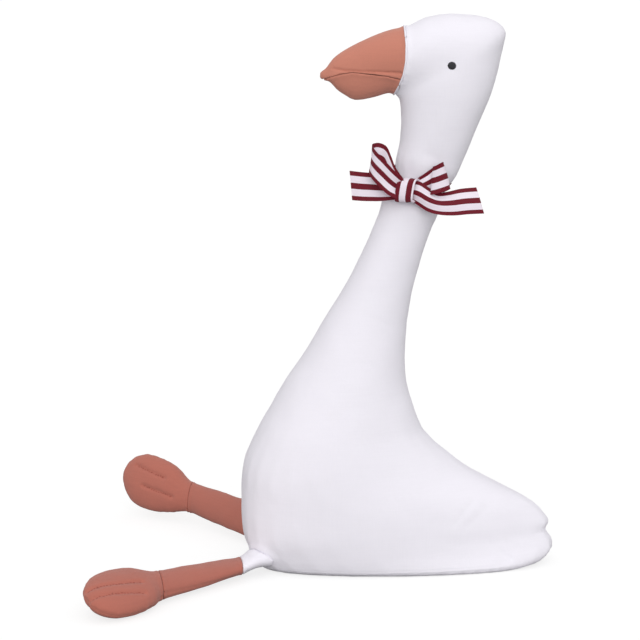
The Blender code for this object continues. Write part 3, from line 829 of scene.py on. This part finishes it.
def make_leg(side, white, tan, sewing):
    thigh, shank, foot = (part + "_" + side for part in ("thigh", "shank", "foot"))
    edges = []
    for node in (shank, foot):
        middle, _, _, thin = own_axes(node)
        edges.append(cut_line(node, middle, thin, lambda point: True))
    piece = make_cover(thigh, [], ("body", shank))
    roughen(piece, 15 * MM, 0.3 * MM, 2.9)
    hug(piece, thigh, (shank,), 0.0, SEWN_REACH)
    rest_on_floor(piece, LEG_LIFT)
    finish_cover(piece, thigh, white)

    piece = make_cover(shank, edges[0], (thigh, foot))
    roughen(piece, 18 * MM, 0.6 * MM, 6.4)
    press(piece, edges[0], 0.5 * MM, 1.3 * MM, 0.35 * MM)
    hug(piece, shank, (thigh, foot), 0.0, SEWN_REACH)
    rest_on_floor(piece, LEG_LIFT)
    finish_cover(piece, shank, tan)

    tops, soles = toe_lines(foot)
    toes = [point for line in tops + soles for point in line]
    piece = make_cover(foot, edges[1] + toes, (shank,))
    roughen(piece, 16 * MM, 0.5 * MM, 9.3)
    press(piece, toes, 1.5 * MM, 2.1 * MM, 0.3 * MM, 5 * MM)
    press(piece, edges[1], 0.6 * MM, 1.2 * MM, 0.6 * MM, 6 * MM, 4.0)
    hug(piece, foot, (shank,), 0.0, SEWN_REACH)
    rest_on_floor(piece, LEG_LIFT)
    finish_cover(piece, foot, tan)
    make_stitches(foot + "_stitches", tops, piece, sewing)


# Eyes

def make_eye(name, node, cover_tree, finish):
    """Embroider an eye: threads side by side over a low dome."""
    low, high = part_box(node)
    middle = (low + high) / 2
    side = math.copysign(1.0, middle.y)
    place, normal, _, _ = cover_tree.ray_cast(middle + Vector((0, side * 0.03, 0)),
                                              Vector((0, -side, 0)))
    across = normal.cross(Vector((0.25, 0, 1))).normalized()
    lengthwise = across.cross(normal)
    shape = bmesh.new()
    for index in range(EYE_THREADS):
        offset = EYE_RADIUS * (2 * (index + 0.5) / EYE_THREADS - 1)
        reach = math.sqrt(EYE_RADIUS**2 - offset**2)
        run = []
        for step in range(9):
            share = 2 * step / 8 - 1
            out = (offset**2 + (reach * share) ** 2) / EYE_RADIUS**2
            lift = EYE_HEIGHT * math.sqrt(max(0.0, 1 - out)) - EYE_SINK
            run.append(place + across * offset + lengthwise * reach * share + normal * lift)
        add_tube(shape, run, 0.62 * EYE_RADIUS / EYE_THREADS * 2)
    piece = link(name, mesh_from(shape, name))
    piece.data.materials.append(finish)
    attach(piece, "root")
    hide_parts(node)


# Ribbon

def through(rows, steps):
    """Return rows with steps per interval, on smooth curves through all columns."""
    table = np.array([rows[0]] + list(rows) + [rows[-1]])
    dense = []
    for index in range(1, len(table) - 2):
        before, start, end, after = table[index - 1:index + 3]
        for step in range(steps):
            t = step / steps
            dense.append(0.5 * (2 * start + (end - before) * t
                                + (2 * before - 5 * start + 4 * end - after) * t * t
                                + (3 * start - before - 3 * end + after) * t ** 3))
    dense.append(table[-2])
    return dense


def add_sheet(shape, spread, grid, widths, start=0.0):
    """Add a grid of points as a sheet, with its place along and across the cut as UVs."""
    rows = [[shape.verts.new(point) for point in line] for line in grid]
    middle = len(grid[0]) // 2
    runs = [start]
    for before, after in zip(grid, grid[1:]):
        runs.append(runs[-1] + (after[middle] - before[middle]).length)
    for index in range(len(rows) - 1):
        for step in range(len(widths) - 1):
            face = shape.faces.new((rows[index][step], rows[index][step + 1],
                                    rows[index + 1][step + 1], rows[index + 1][step]))
            corners = ((index, step), (index, step + 1), (index + 1, step + 1), (index + 1, step))
            for loop, (line, column) in zip(face.loops, corners):
                loop[spread].uv = (runs[line], widths[column])
    return runs[-1]


def strip_grid(rows, knot, columns=12):
    """Return one run of the bow, its width cupped where less of it shows."""
    dense = through(rows, 8)
    middles = [knot + Vector(row[:3]) * MM for row in dense]
    widths = [column / columns for column in range(columns + 1)]
    grid = []
    for index, row in enumerate(dense):
        ahead = middles[min(index + 1, len(dense) - 1)]
        behind = middles[max(index - 1, 0)]
        across = Vector((row[3], row[4], 1.0)).normalized()
        out = across.cross(ahead - behind).normalized()
        share = min(1.0, row[5])
        cup = 0.32 * RIBBON_WIDTH * math.sqrt(1 - share * share)
        line = []
        for width in widths:
            over = (width - 0.5) * RIBBON_WIDTH * row[5]
            fold = cup * 0.35 * math.cos(2 * math.pi * width)
            line.append(middles[index] + across * over + out * fold)
        grid.append(line)
    return grid, [1 - width for width in widths]


def band_place(tree, bearing, across):
    """Return where a ray from inside the neck meets its cover, and the way out there."""
    axis = Vector((math.sin(BAND_TILT), 0.0, math.cos(BAND_TILT)))
    back = Vector((math.cos(BAND_TILT), 0.0, -math.sin(BAND_TILT)))
    outward = back * math.cos(bearing) + Vector((0.0, math.sin(bearing), 0.0))
    middle = Vector((BAND_X, 0.0, BAND_HEIGHT)) + axis * across
    return tree.ray_cast(middle, outward)[0], outward


def knot_grid(knot):
    """Return the wrap of the knot: the width runs left to right and then folds under."""
    turn = KNOT_BEARING + math.radians(90)
    right = Vector((math.cos(turn), math.sin(turn), 0.0))
    away = Vector((-math.sin(turn), math.cos(turn), 0.0))
    lean = Vector((math.sin(KNOT_LEAN), 0.0, math.cos(KNOT_LEAN)))
    grid = []
    widths = [step / 16 for step in range(17)]
    for step in range(61):
        angle = 2 * math.pi * step / 60
        bow = math.copysign(abs(math.cos(angle)) ** 0.75, math.cos(angle))
        climb = math.copysign(abs(math.sin(angle)) ** 0.75, math.sin(angle))
        line = []
        for width in widths:
            run = width * RIBBON_WIDTH
            under = max(0.0, run - KNOT_FOLD)
            x = KNOT_LEFT + min(run, KNOT_FOLD) - 0.35 * under
            sink = 0.55 * under + KNOT_EDGE_SINK * max(0.0, 1 - run / KNOT_EDGE_REACH) ** 2
            sink += KNOT_DENT_DEPTH * max(0.0, 1 - abs(run - KNOT_DENT) / KNOT_DENT_REACH)
            depth = KNOT_DEPTH / 2 - sink
            height = KNOT_HEIGHT / 2 - 0.8 * sink
            ahead = KNOT_AHEAD * (bow + 1) / 2
            line.append(knot + right * x - away * (depth * bow + ahead) + lean * height * climb)
        grid.append(line)
    return grid, widths


def make_ribbon(body_tree, finish):
    place, outward = band_place(solid_tree("body"), KNOT_BEARING, 0.0)
    knot = place + outward * (0.5 * MM + KNOT_DEPTH / 2)
    knot.z -= KNOT_DROP
    shape = bmesh.new()
    spread = shape.loops.layers.uv.new("cut")
    band = []
    widths = [step / 10 for step in range(11)]
    for step in range(BAND_SEGMENTS + 1):
        bearing = KNOT_BEARING + 2 * math.pi * step / BAND_SEGMENTS
        line = []
        off = (step / BAND_SEGMENTS + 0.5) % 1.0 - 0.5
        bunch = math.exp(-((2 * math.pi * off / BAND_NARROW_REACH) ** 2))
        shown = RIBBON_WIDTH * (1 - BAND_NARROWING * bunch)
        for width in widths:
            across = (0.5 - width) * shown - KNOT_DROP * bunch
            touch, out = band_place(body_tree, bearing, across)
            line.append(touch + out * (BAND_LOOSENESS + RIBBON_THICKNESS / 2))
        band.append(line)
    length = add_sheet(shape, spread, band, widths)
    for rows in (LEFT_LOOP, RIGHT_LOOP, LEFT_TAIL, RIGHT_TAIL):
        grid, across = strip_grid(rows, knot)
        length = add_sheet(shape, spread, grid, across, length)
    grid, across = knot_grid(knot)
    length = add_sheet(shape, spread, grid, across, length)
    mesh = bpy.data.meshes.new("ribbon_bow")
    shape.to_mesh(mesh)
    shape.free()
    piece = link("ribbon_bow", mesh)
    sheet = piece.modifiers.new("thickness", "SOLIDIFY")
    sheet.thickness = RIBBON_THICKNESS
    sheet.offset = 0.0
    keep_result(piece)
    piece.data.shade_smooth()
    piece.data.set_sharp_from_angle(angle=math.radians(50))
    piece.data.materials.append(finish)
    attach(piece, "root")
    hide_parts("neck_ribbon")


# Stage

def make_stage():
    finish, tree, shader = new_finish("floor_finish")
    shader.inputs["Roughness"].default_value = 0.9
    glow = tree.nodes.new("ShaderNodeEmission")
    glow.inputs["Color"].default_value = (1.0, 1.0, 1.0, 1.0)
    glow.inputs["Strength"].default_value = FLOOR_GLOW
    seen = tree.nodes.new("ShaderNodeLightPath").outputs["Is Camera Ray"]
    surface = blend(tree, seen, colour(FLOOR_BOUNCE), colour(FLOOR_SEEN))
    tree.links.new(surface, shader.inputs["Base Color"])
    mixed = tree.nodes.new("ShaderNodeMixShader")
    tree.links.new(calculate(tree, "MULTIPLY", seen, FLOOR_GLOW_SHARE), mixed.inputs["Fac"])
    tree.links.new(shader.outputs["BSDF"], mixed.inputs[1])
    tree.links.new(glow.outputs["Emission"], mixed.inputs[2])
    tree.links.new(mixed.outputs["Shader"], tree.nodes["Material Output"].inputs["Surface"])
    shape = bmesh.new()
    bmesh.ops.create_grid(shape, x_segments=1, y_segments=1, size=FLOOR_SIZE / 2)
    mesh = bpy.data.meshes.new("floor")
    shape.to_mesh(mesh)
    shape.free()
    floor = link("floor", mesh)
    mesh.materials.append(finish)


def make_light():
    world = bpy.data.worlds.new("studio")
    bpy.context.scene.world = world
    world.use_nodes = True
    tree = world.node_tree
    back = tree.nodes["Background"]
    back.inputs["Color"].default_value = (1.0, 1.0, 1.0, 1.0)
    seen = tree.nodes.new("ShaderNodeLightPath").outputs["Is Camera Ray"]
    level = calculate(tree, "MULTIPLY_ADD", seen, 1.0 - WORLD_LEVEL)
    level.node.inputs[2].default_value = WORLD_LEVEL
    tree.links.new(level, back.inputs["Strength"])
    sun = bpy.data.lights.new("key", "SUN")
    sun.energy = KEY_LEVEL
    sun.angle = KEY_SOFTNESS
    key = bpy.data.objects.new("key", sun)
    key.rotation_euler = KEY_TURN
    bpy.context.scene.collection.objects.link(key)


def make_camera():
    lens = bpy.data.cameras.new("camera")
    lens.sensor_width = SENSOR_WIDTH
    view = CAMERA_AIM - CAMERA_PLACE
    lens.lens = SENSOR_WIDTH * view.length / VIEW_WIDTH
    lens.clip_end = 2 * FLOOR_SIZE
    camera = bpy.data.objects.new("camera", lens)
    camera.location = CAMERA_PLACE
    camera.rotation_euler = view.to_track_quat("-Z", "Y").to_euler()
    bpy.context.scene.collection.objects.link(camera)
    bpy.context.scene.camera = camera


def main():
    scene = bpy.context.scene
    scene.view_settings.view_transform = "Standard"
    make_camera()
    make_light()
    make_stage()
    white = cotton("white_cotton", WHITE_COTTON, slub=0.03, weave_depth=0.05 * MM, sheen=0.08)
    tan = cotton("leg_cotton", LEG_COTTON, slub=0.10, weave_depth=0.07 * MM, sheen=0.15)
    beak = cotton("beak_cotton", BEAK_COTTON, slub=0.08, weave_depth=0.07 * MM, sheen=0.15)
    body = make_body(white)
    make_beak(beak)
    sewing = thread("leg_thread", LEG_THREAD, 0.7, 0.5 * MM)
    for side in ("left", "right"):
        make_leg(side, white, tan, sewing)
    body_tree = tree_of(body.data)
    eye_thread = thread("eye_thread", CHARCOAL, 0.55, 0.4 * MM)
    for side in ("left", "right"):
        make_eye("eye_" + side + "_stitches", "eye_" + side, body_tree, eye_thread)
    make_ribbon(body_tree, grosgrain("striped_grosgrain"))


main()
